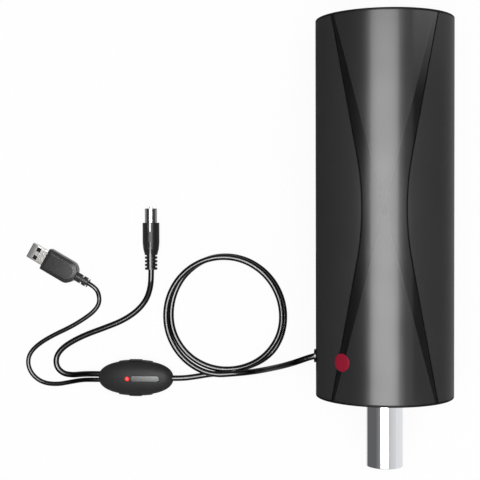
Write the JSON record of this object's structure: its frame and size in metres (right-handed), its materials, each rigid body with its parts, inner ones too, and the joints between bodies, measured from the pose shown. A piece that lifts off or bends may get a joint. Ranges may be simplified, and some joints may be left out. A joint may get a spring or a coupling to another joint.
{
  "type": "amplified tv antenna",
  "caption": "Cylindrical amplified TV antenna with a waisted front, mast tube, inline power pod, aerial lead and power lead laid out on a table",
  "frame": {"origin": "bottom centre of the box round housing and mast, on the surface that the antenna lies on", "axes": "+Y along the antenna towards its top, +Z towards its front, +X to the right of its front"},
  "size_m": [0.3147, 0.3022, 0.093],
  "materials": {
    "housing_plastic": "satin moulded",
    "inlay_plastic": "glossy moulded",
    "cap_plastic": "fine texture",
    "badge_red": "gloss",
    "steel": "zinc plated",
    "chrome": "polished",
    "board": "solder mask",
    "copper": "tinned foil",
    "ferrite": "sintered",
    "tinplate": "tinned",
    "chip": "moulded",
    "pod_plastic": "satin moulded",
    "lens": "clear gloss",
    "lamp_red": "lit",
    "cord_jacket": "soft vinyl",
    "plug_rubber": "soft vinyl",
    "nickel": "plated",
    "contact_gold": "plated",
    "white_plastic": "moulded",
    "tongue_plastic": "moulded"
  },
  "bodies": {
    "root": {"core_shell": "housing_plastic", "left_cheek": "housing_plastic", "right_cheek": "housing_plastic", "front_left_inlay": "inlay_plastic", "front_right_inlay": "inlay_plastic", "back_left_inlay": "inlay_plastic", "back_right_inlay": "inlay_plastic", "top_cap": "cap_plastic", "bottom_cap": "cap_plastic", "cable_hatch": "cap_plastic", "badge": "badge_red", "cap_screws": "steel", "mast_pin": "steel", "mast_tube": "chrome", "element_board": "board", "pod_board": "board", "uhf_elements": "copper", "vhf_loop": "copper", "balun_core": "ferrite", "pod_choke": "ferrite", "amplifier_shield": "tinplate", "amplifier_chip": "chip", "pod_upper_shell": "pod_plastic", "pod_lower_shell": "pod_plastic", "pod_lens": "lens", "pod_led": "lamp_red", "antenna_cord_lead": "cord_jacket", "antenna_cord_coil": "cord_jacket", "antenna_cord_tail": "cord_jacket", "tv_lead": "cord_jacket", "power_lead": "cord_jacket", "inner_lead": "cord_jacket", "cord_gland": "cord_jacket", "power_plug_body": "plug_rubber", "aerial_plug_body": "plug_rubber", "power_plug_shell": "nickel", "aerial_plug_barrel": "nickel", "aerial_plug_pin": "nickel", "power_plug_contacts": "contact_gold", "aerial_plug_insulator": "white_plastic", "power_plug_tongue": "tongue_plastic"}
  },
  "joints": []
}
